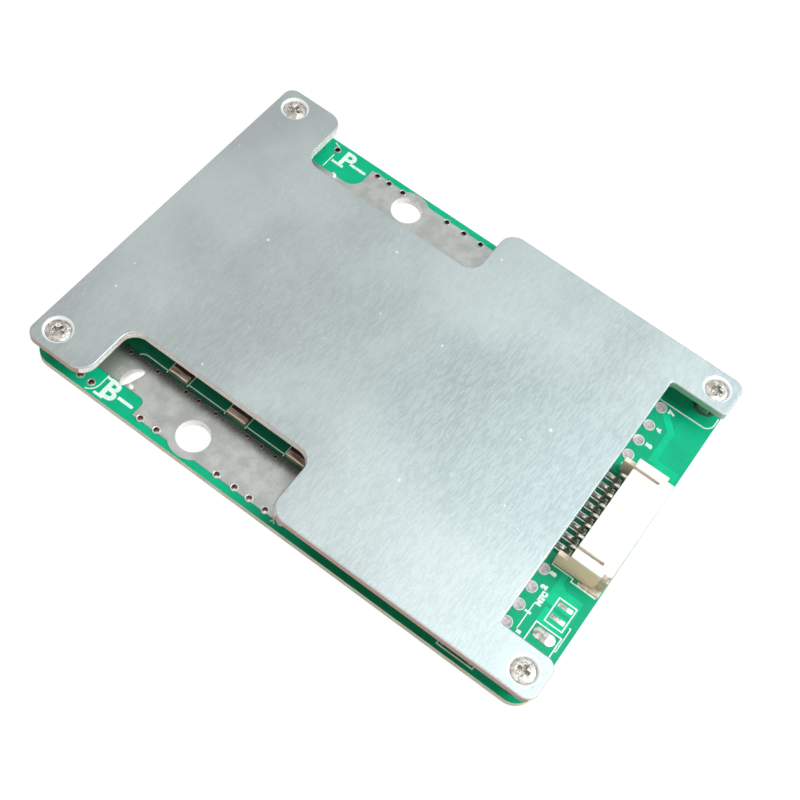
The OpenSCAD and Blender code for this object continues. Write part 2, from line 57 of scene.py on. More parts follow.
class Wire:
    """A socket of a finish. Sums on it add Math nodes, and node() adds any other node."""

    def __init__(self, tree, socket=None):
        self.tree, self.socket = tree, socket

    def node(self, kind, settings=None, sockets=None, out=0):
        made = self.tree.nodes.new("ShaderNode" + kind)
        for name, value in (settings or {}).items():
            setattr(made, name, value)
        for name, value in (sockets or {}).items():
            if isinstance(value, Wire):
                self.tree.links.new(value.socket, made.inputs[name])
            else:
                made.inputs[name].default_value = value
        return Wire(self.tree, made.outputs[out])

    def math(self, operation, *values):
        return self.node("Math", {"operation": operation}, dict(enumerate(values)))

    def __add__(self, other):
        return self.math("ADD", self, other)

    def __sub__(self, other):
        return self.math("SUBTRACT", self, other)

    def __rsub__(self, other):
        return self.math("SUBTRACT", other, self)

    def __mul__(self, other):
        return self.math("MULTIPLY", self, other)

    def __gt__(self, other):
        return self.math("GREATER_THAN", self, other)

    def __lt__(self, other):
        return self.math("LESS_THAN", self, other)

    def __abs__(self):
        return self.math("ABSOLUTE", self)

    __radd__, __rmul__ = __add__, __mul__

    def over(self, low, high):
        """Rises smoothly from 0 to 1 as this value goes from low to high."""
        return self.node("MapRange", {"interpolation_type": "SMOOTHSTEP"},
                         {"Value": self, "From Min": low, "From Max": high})

    def mix(self, without, full):
        """The first colour where this mask is 0, the second where it is 1."""
        return self.node("Mix", {"data_type": "RGBA"}, {0: self, 6: without, 7: full}, 2)

    def noise(self, scale, detail=2.0, stretch=(1, 1, 1), turn=0.0, lift=0.0):
        """Noise at this place: scale is in waves a millimetre along each stretch."""
        placed = self.node("Mapping", {}, {"Vector": self, "Rotation": (0, 0, turn)})
        placed = placed.node("Mapping", {}, {"Vector": placed, "Location": (lift, lift, lift),
                                             "Scale": stretch})
        return placed.node("TexNoise", {}, {"Vector": placed, "Scale": scale, "Detail": detail})


def paint(red, green, blue):
    """A colour from its 0 to 255 screen values, as the shader wants it."""
    return (*(((c / 255 + 0.055) / 1.055) ** 2.4 for c in (red, green, blue)), 1.0)


def new_finish(name):
    """A material, and the place on its piece in millimetres as a vector and as x, y, z."""
    material = bpy.data.materials.new(name)
    material.use_nodes = True
    here = Wire(material.node_tree).node("TexCoord", out="Object")
    place = here.node("VectorMath", {"operation": "SCALE"}, {0: here, "Scale": 1 / MM})
    return material, place, *(place.node("SeparateXYZ", {}, {0: place}, out=i) for i in range(3))


def close_finish(material, bump=None, depth=0.01, **sockets):
    """Plugs a finish together. Wires vary over the piece, numbers are the shader's own."""
    tree = material.node_tree
    shader = tree.nodes["Principled BSDF"]
    for name, value in sockets.items():
        socket = shader.inputs[name.replace("_", " ")]
        if isinstance(value, Wire):
            tree.links.new(value.socket, socket)
        else:
            socket.default_value = value
    if bump is not None:
        relief = bump.node("Bump", {}, {"Strength": 1.0, "Distance": depth * MM, "Height": bump})
        tree.links.new(relief.socket, shader.inputs["Normal"])
    return material


def dress(node, material):
    """Gives a CAD solid its finish."""
    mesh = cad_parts[node].data
    mesh.materials.clear()
    mesh.materials.append(material)


def piece(name, shape, material, replaces=(), smooth=False):
    """Makes an object of a bmesh, dresses it and lets it ride on the board."""
    if smooth:
        for face in shape.faces:
            face.smooth = True
    mesh = bpy.data.meshes.new(name)
    shape.to_mesh(mesh)
    shape.free()
    mesh.materials.append(material)
    made = bpy.data.objects.new(name, mesh)
    bpy.context.scene.collection.objects.link(made)
    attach(made, "root")
    if replaces:
        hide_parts(*replaces)
    return made


def slab(shape, outline, low, high):
    """A flat plate of this outline between two heights, all in millimetres."""
    base = shape.faces.new([shape.verts.new((x * MM, y * MM, low * MM)) for x, y in outline])
    made = bmesh.ops.extrude_face_region(shape, geom=[base])["geom"]
    bmesh.ops.translate(shape, vec=(0, 0, (high - low) * MM),
                        verts=[v for v in made if isinstance(v, bmesh.types.BMVert)])


def block(x_low, y_low, x_high, y_high):
    """The outline of a rectangle."""
    return [(x_low, y_low), (x_high, y_low), (x_high, y_high), (x_low, y_high)]


SHUNT_X = [sum(corner.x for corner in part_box(f"shunt_{i}")) / 2 / MM for i in range(1, 5)]


def shunt_stain_and_shade(place, x, y):
    """Burnt flux along the feet of the shunts, with painted shade: a band at their feet, a band of
    painted shade under the plate's edge, and a round halo of painted shade at each.
    """
    along = 1 - abs(x + 13.5).over(19, 21.5)
    band = (1 - abs(y + 20.7 + place.noise(2.4, 3) * 0.5).over(0.2, 1.9)) * along
    stain_and_shade = band * (0.8 + place.noise(4.5, 3).over(0.35, 0.65) * 0.2)
    # A band of painted shade under the plate's edge
    stain_and_shade = stain_and_shade.math("MAXIMUM", stain_and_shade, (1 - abs(y + 18.9).over(1.1, 2.2)) * along * 0.6)
    # A round halo of painted shade at each shunt's feet
    for middle in SHUNT_X:
        far_x, far_y = (x - middle) * 0.36, (y + 20.6) * 0.6
        foot_halo_shade = 1 - (far_x * far_x + far_y * far_y + place.noise(2.4, 3) * 0.35).over(0.4, 1.5)
        stain_and_shade = stain_and_shade.math("MAXIMUM", stain_and_shade, foot_halo_shade * 0.75)
    return stain_and_shade


def mask_finish(name, over_copper, bare):
    """The solder mask: a bright green over copper, and a deeper one on bare laminate.

    It has flux and painted shade under the connector's leads and at the shunts, and painted shade
    along the near edge under the plate. The routed edge below it shows the layers of the glass."""
    material, place, x, y, z = new_finish(name)
    cloud = place.noise(0.35, 3).over(0.3, 0.7)
    weave = place.noise(2.6, 1, (1, 0.25, 1)) + place.noise(2.6, 1, (0.25, 1, 1))
    upper = z > TOP - 0.05
    pads_field = (x > 31.5) * (1 - (x > 37.8) * (y > 11.5)) * upper
    mask = pads_field.mix(over_copper, bare)
    mask = (cloud * 0.3).mix(mask, paint(4, 150, 108))
    speck = place.noise(3.1, 2, lift=5).over(0.72, 0.78) * 0.35
    mask = speck.mix(mask, paint(120, 225, 185))
    # Flux under the connector's leads, deepened with painted shade from the connector and the plate
    lead_flux_and_shade = (1 - abs(x - 34.5).over(1.7, 2.1)) * (1 - abs(y).over(7.9, 8.4))
    mask = (lead_flux_and_shade * upper * 0.75).mix(mask, paint(16, 74, 54))
    mask = (shunt_stain_and_shade(place, x, y) * upper).mix(mask, paint(34, 66, 50))
    edge = (z > UNDER + 0.05) * (z < TOP - 0.05)
    layers = z.node("CombineXYZ", {}, {"X": x * 0.4, "Y": y * 0.4, "Z": z * 7}).noise(1.0, 3)
    glass = layers.over(0.35, 0.65).mix(paint(196, 206, 184), paint(240, 244, 230))
    # Painted shade on the mask along the near edge, under the plate
    near_edge_shade = (1 - abs(y + 28.5).over(1, 4)) * (1 - abs(x - 20).over(11, 16)) * upper
    mask = (near_edge_shade * 0.7).mix(mask, paint(16, 120, 80))
    return close_finish(material, Base_Color=edge.mix(mask, glass), Coat_Roughness=0.12,
                        Roughness=0.34 + cloud * 0.1 + edge * 0.35, Specular_IOR_Level=0.12,
                        Coat_Weight=(1 - edge) * 0.05,
                        bump=weave * 0.5 + layers * edge * 2, depth=0.006)


dress("circuit_board", mask_finish("solder_mask", paint(10, 182, 134), paint(6, 172, 125)))

POUR_T = 0.02
pours = bmesh.new()
for outline in (
        # The pour round the thermistor pads, with its chamfered shoulder
        [(36.5, -15.0), (36.5, -10.0), (37.35, -10.0), (37.35, -11.2), (38.2, -12.1),
         (41.2, -12.1), (41.2, -15.0)],
        [(37.1, -18.2), (37.1, -15.6), (41.2, -15.6), (41.2, -18.2)],
        # The trace from the seventh pad to the connector
        [(35.0, 21.2), (35.7, 22.0), (38.2, 19.4), (38.2, 13.0), (37.1, 13.0), (37.1, 18.9)],
        block(38.2, 12.3, 42.0, 13.9)):
    slab(pours, outline, TOP - POUR_T, TOP + POUR_T)
bmesh.ops.recalc_face_normals(pours, faces=pours.faces)
piece("copper_pours", pours,
      mask_finish("solder_mask_on_copper", paint(6, 201, 148), paint(6, 201, 148)))

# ---- Tinned copper ----
# The two power lands are wide copper, tinned by hand with an iron, so the tin is uneven,
# with a ridge where the iron left. Small plated holes stitch them to the underside, and
# the wires of the cells are soldered to round pads beside the connector.


def tin_finish(name, bright, dull, rough, stain_and_shade_amount=0.0):
    """Solder tin: bright where it froze smooth, dull and mottled where flux was left, and darkened
    at the shunts by burnt flux and painted shade.
    """
    material, place, x, y, z = new_finish(name)
    flow = place.noise(0.4, 3, (1, 1, 0.2)).over(0.34, 0.68)
    grain = place.noise(4.5, 3)
    spots = place.noise(2.2, 3, lift=9).over(0.60, 0.74)
    colour = flow.mix(dull, bright)
    colour = (grain.over(0.5, 0.75) * 0.25).mix(colour, paint(140, 134, 128))
    colour = (spots * 0.2).mix(colour, paint(112, 106, 98))
    # Burnt flux and painted shade at the shunts darken the tin
    if stain_and_shade_amount:
        colour = (shunt_stain_and_shade(place, x, y) * (z > TOP - 0.05) * stain_and_shade_amount).mix(colour, paint(46, 48, 42))
    return close_finish(material, Base_Color=colour, Metallic=0.92,
                        Roughness=rough + flow * -0.06 + grain * 0.1 + spots * 0.1,
                        bump=place.noise(0.5, 2) * 4 + grain * 0.2, depth=0.02)


tin = tin_finish("tinned_land", paint(184, 185, 181), paint(164, 165, 161), 0.4, 0.9)
dress("b_minus_land", tin)
dress("p_minus_land", tin)


def turned(shape, profile, x, y, steps=20, wide=1.0, turn=0.0, hollow=False, bend=0.0):
    """A profile of radius and height spun about an upright axis, then stretched along X.

    A bend pushes the middle of a stretched form aside, with its ends left in place."""
    before = set(shape.verts)
    line = [shape.verts.new((radius * MM, 0, height * MM)) for radius, height in profile]
    pairs = list(zip(line, line[1:] + (line[:1] if hollow else [])))
    bmesh.ops.spin(shape, geom=line + [shape.edges.new(pair) for pair in pairs],
                   cent=(0, 0, 0), axis=(0, 0, 1), angle=math.tau, steps=steps, use_merge=True)
    fresh = [vert for vert in shape.verts if vert not in before]
    reach = max(radius for radius, height in profile) * MM
    for vert in fresh:
        vert.co.y += bend * MM * (1 - (vert.co.x / reach) ** 2)
    bmesh.ops.transform(shape, verts=fresh, matrix=(
        Matrix.Translation((x * MM, y * MM, 0)) @ Matrix.Rotation(turn, 4, "Z")
        @ Matrix.Diagonal((wide, 1, 1, 1))))
    bmesh.ops.remove_doubles(shape, verts=fresh, dist=1e-8)


def closed(shape):
    """The shape with its faces turned outwards."""
    bmesh.ops.recalc_face_normals(shape, faces=shape.faces)
    return shape


# The rows of plated holes, and how deep a thin piece is let into the board
SUNK = 0.02
B_ROW, P_ROW, SMALL_ROW = -28.5, 28.5, -21.25
b_vias = (-34.5, -32.5, -23.5, -20.6, -9.8, -6.7, -4.1, -1.3, 1.5)
p_vias = (-31.5, -23.5, -21.2, -18.5, -9.8, -6.5, -3.3)
small_vias = (-31.5, -26.5, -21.3, -19.0, -15.9, -10.2, -7.7, -5.2)
LAND_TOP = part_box("b_minus_land")[1].z / MM
rings = bmesh.new()
for row, places, bore, ring in ((B_ROW, b_vias, 0.4, 0.64), (P_ROW, p_vias, 0.4, 0.62),
                                (SMALL_ROW, small_vias, 0.25, 0.36)):
    for x in places:
        top = (LAND_TOP if x > -24.7 or row == SMALL_ROW else TOP) + 0.05
        turned(rings, [(bore, UNDER - 0.04), (ring, UNDER - 0.04), (ring, UNDER + SUNK),
                       (bore - 0.002, UNDER + SUNK), (bore - 0.002, TOP - SUNK),
                       (ring, TOP - SUNK), (ring, top - 0.02), (ring - 0.05, top),
                       (bore + 0.05, top), (bore - 0.02, TOP - 0.01),
                       (bore - 0.02, UNDER + 0.01)], x, row, 20, hollow=True)
material, place, x, y, z = new_finish("plated_holes")
inside = (z < TOP + 0.03) * (z > UNDER + 0.005)
copper = place.noise(0.9, 2).over(0.4, 0.6).mix(paint(44, 20, 22), paint(124, 62, 56))
ring_tin = place.noise(2.0, 2).over(0.35, 0.65).mix(paint(186, 180, 172), paint(222, 214, 205))
# The rings of the small row, under the plate's edge, are painted darker as shade
ring_tin = (abs(y - SMALL_ROW) < 0.5).mix(ring_tin, paint(130, 124, 116))
ring_tin = (y > 0).mix(ring_tin, paint(168, 170, 162))
close_finish(material, Base_Color=inside.mix(ring_tin, copper), Metallic=0.85,
             Roughness=0.3 + place.noise(4.0, 2) * 0.2)
piece("via_barrels", closed(rings), material, smooth=True)

PAD_R = 0.95
cell_pads = [(34.0, y) for y in (-20.9, -17.7, -14.5, -11.2)]
cell_pads += [(34.3, y) for y in (11.9, 15.0, 18.2, 22.0)]
pads = bmesh.new()
for x, y in cell_pads:
    turned(pads, [(0, TOP - SUNK), (PAD_R, TOP - SUNK), (PAD_R, TOP + 0.05),
                  (PAD_R - 0.05, TOP + 0.1), (PAD_R - 0.13, TOP + 0.1),
                  (PAD_R - 0.22, TOP + 0.06), (0, TOP + 0.05)], x, y, 28)
material, place, x, y, z = new_finish("cell_pad_tin")
dip = (z < TOP + 0.085) * (z > TOP + 0.04)
lilac = place.noise(2.2, 3).over(0.35, 0.65).mix(paint(172, 154, 158), paint(202, 192, 196))
close_finish(material, Base_Color=dip.mix(paint(206, 218, 210), lilac), Metallic=0.35,
             Roughness=0.42 + place.noise(3.0, 2) * 0.2, bump=place.noise(2.4, 3), depth=0.03)
piece("cell_pads", closed(pads), material, smooth=True)

# The same lands lie on the underside
under_lands = bmesh.new()
for node in ("b_minus_land", "p_minus_land"):
    under_lands.from_mesh(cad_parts[node].data)
bmesh.ops.remove_doubles(under_lands, verts=under_lands.verts, dist=1e-7)
bmesh.ops.scale(under_lands, vec=(1, 1, -1), verts=under_lands.verts)
bmesh.ops.translate(under_lands, vec=(0, 0, (TOP + UNDER) * MM), verts=under_lands.verts)
piece("underside_lands", closed(under_lands), tin)

# The two round power holes are plated through
POWER_HOLE_X, POWER_HOLE_Y, POWER_HOLE_R = -16.0, 26.05, 2.6
bores = bmesh.new()
for y in (-POWER_HOLE_Y, POWER_HOLE_Y):
    turned(bores, [(POWER_HOLE_R, UNDER - 0.03), (2.95, UNDER - 0.03), (2.95, UNDER + 0.01),
                   (POWER_HOLE_R, UNDER + 0.01), (POWER_HOLE_R, LAND_TOP + 0.005),
                   (2.5, LAND_TOP - 0.005), (2.48, LAND_TOP - 0.03), (2.48, UNDER - 0.03)],
           POWER_HOLE_X, y, 64, hollow=True)
material, place, x, y, z = new_finish("tin_and_whitened_bore")
flow = place.noise(0.8, 2, (1, 1, 0.3)).over(0.3, 0.7)
rim = z > LAND_TOP - 0.02
# The bore's wall is painted near white and barely metallic: painted light that stands for the white
# floor seen through the hole
white = flow.mix(paint(250, 250, 246), paint(255, 255, 252))
piece("power_hole_plating", closed(bores), close_finish(
    material, Base_Color=rim.mix(white, paint(190, 190, 186)), Metallic=0.1 + rim * 0.8,
    Roughness=0.3 + flow * 0.1, bump=flow, depth=0.01))

# The lumps of spare solder on the lands
lumps = bmesh.new()


def lump(x, y, across, long, high, turn=0.0, base=TOP, bend=0.0):
    """A frozen drop of solder that wets its land, round or drawn out along its own X."""
    bell = [(across * (1 - i / 7), base + high * (1 - (1 - i / 7) ** 2) ** 2) for i in range(7)]
    turned(lumps, [(0, base - 0.03), (across, base - 0.03), *bell, (0, base + high)],
           x, y, 28, long / across, turn, bend=bend)


lump(-28.6, -24.3, 0.85, 2.1, 0.2, math.radians(72), LAND_TOP, 0.35)
lump(-27.9, -25.5, 0.4, 0.55, 0.2, math.radians(-30), LAND_TOP)
lump(-28.9, 23.95, 0.4, 0.55, 0.22, math.radians(-35), LAND_TOP)
material, place, x, y, z = new_finish("solder")
flow = place.noise(1.0, 3).over(0.3, 0.7)
solder = close_finish(material, Base_Color=flow.mix(paint(236, 234, 228), paint(250, 250, 246)),
                      Metallic=0.4, Roughness=0.34 + flow * 0.1, bump=place.noise(1.5, 3),
                      depth=0.03)
piece("solder_lumps", closed(lumps), solder, smooth=True)

# The thermistor's two pads and the wide oval pad beside them, dull except at their
# right-hand ends, where the iron's last touch left them bright
ntc_pads = bmesh.new()
for outline in (block(38.3, -14.55, 40.6, -13.85), block(38.3, -16.65, 40.6, -15.95)):
    slab(ntc_pads, outline, TOP - SUNK, TOP + 0.07)
oval = [(38.4 + 0.9 * math.cos(math.radians(a)), -19.5 + 0.9 * math.sin(math.radians(a)))
        for a in range(90, 271, 15)]
oval += [(40.1 + 0.9 * math.cos(math.radians(a)), -19.5 + 0.9 * math.sin(math.radians(a)))
         for a in range(-90, 91, 15)]
slab(ntc_pads, oval, TOP - SUNK, TOP + 0.1)
bmesh.ops.bevel(ntc_pads, geom=[e for e in ntc_pads.edges if e.calc_face_angle(0) > 0.6],
                offset=0.06 * MM, affect="EDGES", segments=3, profile=0.5, material=-1)
material, place, x, y, z = new_finish("half_bright_tin")
fresh = (x + place.noise(1.4, 2) * 1.2).over(40.1, 40.9)
pits = place.noise(1.9, 3).over(0.4, 0.62) * (1 - fresh)
tone = pits.mix(paint(196, 194, 186), paint(150, 142, 134))
tone = (place.noise(2.4, 2, lift=3).over(0.58, 0.68) * (1 - fresh)).mix(tone, paint(92, 128, 104))
close_finish(material, Base_Color=fresh.mix(tone, paint(240, 244, 240)), Metallic=0.5,
             Roughness=0.46 - fresh * 0.16 + pits * 0.1, bump=pits * -1 + place.noise(1.1, 2),
             depth=0.03)
piece("thermistor_pads", closed(ntc_pads), material, smooth=True)

# ---- White legend ----
# Epoxy ink screened on the mask: the outlines of parts, the marks of the two heavy
# terminals and the numbers of the cells' pads.

INK_T = 0.045


def walls(paths):
    """Upright strips along these paths, which Solidify thickens to the ink's width."""
    shape = bmesh.new()
    for path in paths:
        ring = path[0] == path[-1]
        line = [shape.verts.new((x * MM, y * MM, (TOP - 0.005) * MM)) for x, y in path[ring:]]
        pairs = zip(line, line[1:] + line[:1] if ring else line[1:])
        edges = [shape.edges.new(pair) for pair in pairs]
        made = bmesh.ops.extrude_edge_only(shape, edges=edges)["geom"]
        bmesh.ops.translate(shape, vec=(0, 0, (INK_T + 0.005) * MM),
                            verts=[v for v in made if isinstance(v, bmesh.types.BMVert)])
    return shape


def loop(x_low, y_low, x_high, y_high):
    """The closed path round a rectangle."""
    corners = block(x_low, y_low, x_high, y_high)
    return corners + corners[:1]


def sweep(x, y, radius, start, end, steps=8):
    """Points along an arc, with its angles in degrees."""
    angles = [math.radians(start + (end - start) * i / steps) for i in range(steps + 1)]
    return [(x + radius * math.cos(a), y + radius * math.sin(a)) for a in angles]


material, place, x, y, z = new_finish("legend_ink")
wear = place.noise(2.2, 3).over(0.35, 0.75)
ink = close_finish(material, Base_Color=wear.mix(paint(238, 250, 244), paint(208, 238, 224)),
                   Roughness=0.55 + wear * 0.15, bump=place.noise(6.0, 2), depth=0.01)


def inked(name, paths, width):
    """A piece of legend drawn with one width of line."""
    made = piece(name, walls(paths), ink)
    thick = made.modifiers.new("ink_width", "SOLIDIFY")
    thick.thickness, thick.offset, thick.use_even_offset = width * MM, 0, True


inked("legend_outlines", [
    loop(38.05, -17.45, 40.9, -13.4),
    [(37.25, -23.6), (37.25, -18.25), (41.35, -18.25), (41.35, -23.6)],
    # Round the connector, with a step at each solder tab
    [(34.5, -7.2), (34.6, -9.85), (38.05, -9.85), (38.05, -10.45), (42.1, -10.45)],
    [(34.2, 10.1), (38.0, 10.1), (38.0, 10.6), (42.1, 10.6)],
    [(33.4, 23.2), (40.7, 23.2), *sweep(40.7, 24.75, 1.55, -90, 0, 8), (42.25, 26.0)],
    loop(28.2, -29.3, 34.0, -26.2),
], 0.2)
inked("legend_fine_lines", [
    [(35.65, -16.2), (35.65, -20.8)],
    [(41.4, -20.3), (41.65, -20.3), (41.65, -16.3), (41.4, -16.3)],
    # Between the shunts on the B- side
    [*sweep(-29.2, -21.4, 1.3, 150, 90, 6), (-25.5, -20.15)],
    [(-33.95, -20.95), (-33.75, -19.9)],
    *([(start, -20.1), (end, -20.1)]
      for start, end in ((-21.8, -15.0), (-11.3, -4.5), (-0.8, 4.2))),
    *([(x, -20.5), (x, -18.2)] for x in (-25.5, -21.8, -15.0, -11.3, -4.5, -0.8)),
    # Short marks near the two long edges
    [(-31.3, -26.1), *sweep(-33.1, -28.0, 1.8, 0, -75, 7)],
    [(-31.35, 24.3), (-31.35, 27.4)], [(-32.6, 29.5), (-31.5, 29.1)],
    [(0.2, -29.4), (0.5, -29.0), (0.5, -28.4)], [(0.5, -29.0), (0.9, -29.4)],
], 0.16)


def lettering(shape, text, size, x, y, turn=0.0, bold=0.0):
    """Plain letters or figures of that height, centred and lying on the mask."""
    curve = bpy.data.curves.new("letters", "FONT")
    curve.body, curve.size, curve.align_x, curve.align_y = text, size, "CENTER", "CENTER"
    curve.extrude, curve.offset, curve.resolution_u = INK_T / 2, bold, 3
    letters = bpy.data.objects.new("letters", curve)
    bpy.context.scene.collection.objects.link(letters)
    bpy.context.view_layer.update()
    mesh = bpy.data.meshes.new_from_object(
        letters.evaluated_get(bpy.context.evaluated_depsgraph_get()))
    mesh.transform(Matrix.Diagonal((MM, MM, MM, 1)) @ Matrix.Translation((x, y, TOP + INK_T / 2))
                   @ Matrix.Rotation(turn, 4, "Z"))
    shape.from_mesh(mesh)
    bpy.data.objects.remove(letters)
    bpy.data.curves.remove(curve)
    bpy.data.meshes.remove(mesh)


marks = bmesh.new()
for text, size, x, y, turn, bold in (
        ("3", 1.1, 35.5, -11.0, 90, 0.12), ("2", 1.1, 35.5, -13.45, 90, 0.12),
        ("5", 1.25, 36.1, 15.15, 90, 0.12), ("6", 1.25, 36.1, 18.4, 90, 0.12),
        ("7", 1.25, 36.1, 22.2, 90, 0.12), ("NTC", 1.05, 36.15, -15.1, 90, 0.11),
        ("B", 4.35, -29.5, -27.9, 0, 0.13), ("P", 4.3, -29.0, 27.65, 0, 0.13)):
    lettering(marks, text, size, x, y, math.radians(turn), bold)
for outline in ([(-28.0, -28.25), *sweep(-25.6, -28.0, 0.25, -90, 90, 6), (-28.0, -27.75)],
                [(-28.2, 27.2), *sweep(-25.4, 27.45, 0.25, -90, 90, 6), (-28.2, 27.7)],
                # The figure one, a short bar across its line
                block(35.1, -18.05, 36.1, -17.7),
                # The feet and caps of the two terminal letters
                block(-31.3, -29.6, -29.7, -29.2), block(-31.3, -26.6, -29.7, -26.2),
                block(-31.0, 26.0, -28.8, 26.45), block(35.75, -21.3, 36.45, -20.8)):
    slab(marks, outline, TOP, TOP + INK_T + 0.004)
piece("legend_marks", closed(marks), ink)

# ---- Power transistors ----
# Two rows of five moulded transistors, soldered flat: their copper tabs carry the
# current and their plastic faces press on the silicone pads under the plate.


def softened(shape, node, edge, segments, sharp, thin):
    """Adds a copy of a CAD solid, with its triangles joined and its sharp edges rounded.

    Edges whose middles lie on a wall too thin for the rounding stay sharp."""
    copy = bmesh.new()
    copy.from_mesh(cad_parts[node].data)
    bmesh.ops.remove_doubles(copy, verts=copy.verts, dist=1e-7)
    bmesh.ops.dissolve_limit(copy, angle_limit=math.radians(1), verts=copy.verts,
                             edges=copy.edges)
    corners = [e for e in copy.edges
               if e.is_manifold and e.calc_face_angle() > math.radians(sharp)
               and not (thin and thin((e.verts[0].co + e.verts[1].co) / 2 / MM))]
    bmesh.ops.bevel(copy, geom=corners, offset=edge * MM, offset_type="OFFSET",
                    affect="EDGES", segments=segments, profile=0.5, material=-1,
                    clamp_overlap=False)
    mesh = bpy.data.meshes.new("joined")
    copy.to_mesh(mesh)
    copy.free()
    shape.from_mesh(mesh)
    bpy.data.meshes.remove(mesh)


def soft_piece(name, nodes, edge, material, segments=2, sharp=30, thin=None):
    """One piece that stands for like CAD solids, with their edges rounded."""
    shape = bmesh.new()
    for node in nodes:
        softened(shape, node, edge, segments, sharp, thin)
    made = piece(name, shape, material, nodes, smooth=True)
    made.modifiers.new("even_faces", "WEIGHTED_NORMAL")
    return made


def numbered(stem, count):
    """The names of like nodes, from the first to that count."""
    return [f"{stem}_{i}" for i in range(1, count + 1)]


def moulded_finish(name, metal_where, dark, pale):
    """Black moulded plastic, with tinned metal where the mask says so."""
    material, place, x, y, z = new_finish(name)
    metal = metal_where(x, y, z)
    grain = place.noise(6.0, 3)
    body = grain.over(0.3, 0.7).mix(dark, pale)
    leads = place.noise(2.0, 2).over(0.3, 0.7).mix(paint(196, 192, 182), paint(226, 222, 214))
    return close_finish(material, Base_Color=metal.mix(body, leads), Metallic=metal * 0.9,
                        Roughness=0.62 - metal * 0.32 + grain * 0.1, bump=grain, depth=0.012)


PLASTIC_HALF = 3.05
DISCHARGE_Y, CHARGE_Y = -7.05, 2.25


def fet_metal(x, y, z):
    """Outside the plastic of both rows: the tabs and the leads."""
    return (abs(y - DISCHARGE_Y) > PLASTIC_HALF) * (abs(y - CHARGE_Y) > PLASTIC_HALF)


soft_piece("power_transistors", numbered("discharge_fet", 5) + numbered("charge_fet", 5), 0.06,
           moulded_finish("transistor_body", fet_metal, paint(38, 38, 40), paint(52, 52, 54)))

# ---- Silicone pads ----
# Two soft grey strips of silicone filled with ceramic powder, cut from sheet. They are
# pressed between the transistors and the plate, and carry the heat across.

material, place, x, y, z = new_finish("thermal_silicone")
speckle = place.noise(4.0, 3).over(0.35, 0.7)
soft_piece("silicone_pads", ["discharge_pad", "charge_pad"], 0.15, close_finish(
    material, Base_Color=speckle.mix(paint(178, 182, 184), paint(200, 203, 204)),
    Roughness=0.75 + speckle * 0.1, bump=place.noise(1.5, 3), depth=0.05), 3)

# ---- Current shunts ----
# Four metal-strip resistors at the inner edge of the B- land, soldered at both ends. The
# ends are bare and drawn, and the resistive middle is coated in a dark red-brown.

material, place, x, y, z = new_finish("shunt_strip")
SHUNT_Y, COAT_HALF = -17.1, 2.3
ends = abs(y - SHUNT_Y) > COAT_HALF
coat = place.noise(2.4, 3).over(0.3, 0.7).mix(paint(52, 34, 36), paint(80, 54, 54))
drawn = place.noise(2.6, 2, (0.15, 1, 1)).over(0.35, 0.65)
caps = drawn.mix(paint(214, 176, 158), paint(255, 232, 216))
soft_piece("current_shunts", numbered("shunt", 4), 0.08, close_finish(
    material, Base_Color=ends.mix(coat, caps), Metallic=ends * 0.9,
    Roughness=0.5 - ends * 0.18 + drawn * 0.1, bump=drawn, depth=0.03))

# ---- Cell channels ----
# Seven balancing channels in a row behind the connector. Each has a flat chip resistor,
# a small moulded transistor and a ceramic capacitor, reflowed onto the board.


def chip_finish(name, ends_where, body, pale):
    """A chip part: its fired body between two tinned ends."""
    material, place, x, y, z = new_finish(name)
    ends = ends_where(x, y)
    grain = place.noise(4.5, 3).over(0.3, 0.7)
    colour = ends.mix(grain.mix(body, pale), paint(214, 210, 202))
    return close_finish(material, Base_Color=colour, Metallic=ends * 0.85,
                        Roughness=0.5 - ends * 0.2 + grain * 0.08, bump=grain, depth=0.01)


soft_piece("balance_resistors", numbered("balance_resistor", 7), 0.04, chip_finish(
    "resistor_body", lambda x, y: abs(x - 30) > 1.1, paint(28, 28, 30), paint(44, 44, 46)))
small_body = moulded_finish("small_body", lambda x, y, z: abs(x - 26.3) > 0.66,
                            paint(34, 34, 36), paint(50, 50, 52))
for node in numbered("balance_transistor", 7):
    dress(node, small_body)
soft_piece("filter_capacitors", numbered("filter_capacitor", 7), 0.05, chip_finish(
    "capacitor_body", lambda x, y: abs(x - 23.2) > 0.6, paint(150, 112, 76), paint(176, 138, 98)))

# ---- Monitor, clamp diode and edge resistor ----
# The cell monitor is a moulded chip with twelve gull-wing leads a side. A large moulded
# diode clamps the terminals, and one brown chip resistor sits at the board's near edge.

moulded = moulded_finish("chip_body", lambda x, y, z: abs(x - 12.1) > 2.66,
                         paint(30, 30, 32), paint(46, 46, 48))
soft_piece("monitor_chip", ["cell_monitor"], 0.03, moulded)
soft_piece("clamp_diode_body", ["clamp_diode"], 0.05, moulded_finish(
    "diode_body", lambda x, y, z: abs(x - 12.1) > 2.22, paint(36, 36, 38), paint(54, 54, 56)))
soft_piece("edge_resistor_body", ["edge_resistor"], 0.05, chip_finish(
    "edge_resistor_coat", lambda x, y: abs(x - 31.1) > 2.0, paint(96, 60, 48), paint(120, 80, 64)))

# ---- Balance connector ----
# One nylon moulding, open towards the plug, with slits that let its roof flex and low
# ears behind it. Eight bent square wires are pressed through its back and soldered to
# the board, and a tinned tab in each front corner holds the housing down.

material, place, x, y, z = new_finish("connector_nylon")
flow = place.noise(0.4, 3, (0.6, 1, 1)).over(0.3, 0.7)
grain = place.noise(7.0, 2)
